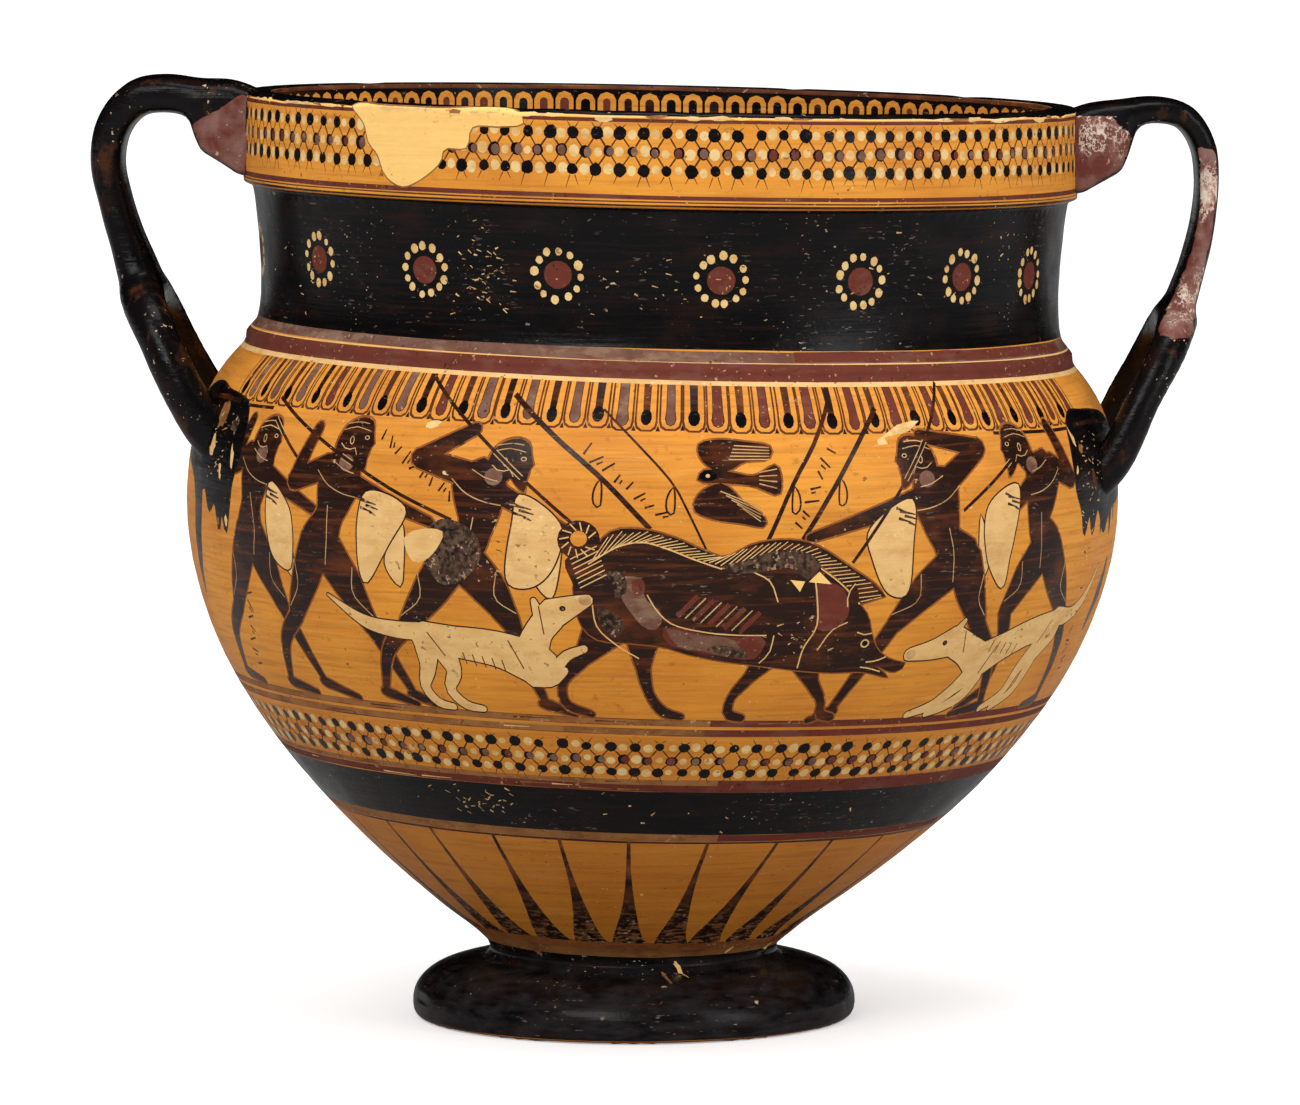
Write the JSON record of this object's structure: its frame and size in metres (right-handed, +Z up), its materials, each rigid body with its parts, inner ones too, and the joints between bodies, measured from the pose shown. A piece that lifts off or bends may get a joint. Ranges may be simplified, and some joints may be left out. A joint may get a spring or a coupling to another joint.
{
  "type": "greek krater",
  "caption": "Wide fired-clay mixing bowl with a collar rim, short neck, disc foot and upright stirrup handles, painted with friezes.",
  "frame": {"origin": "middle of the bounding box, on the plane that the foot stands on", "axes": "+Z up, X through both handles, -Y towards the side whose picture is best preserved"},
  "size_m": [0.4488, 0.3716, 0.3771],
  "materials": {
    "painted_clay": "burnished orange fired clay with semi-gloss black slip, matt purple-red and cream painted details, worn"
  },
  "bodies": {
    "root": {"krater": "painted_clay"}
  },
  "joints": []
}
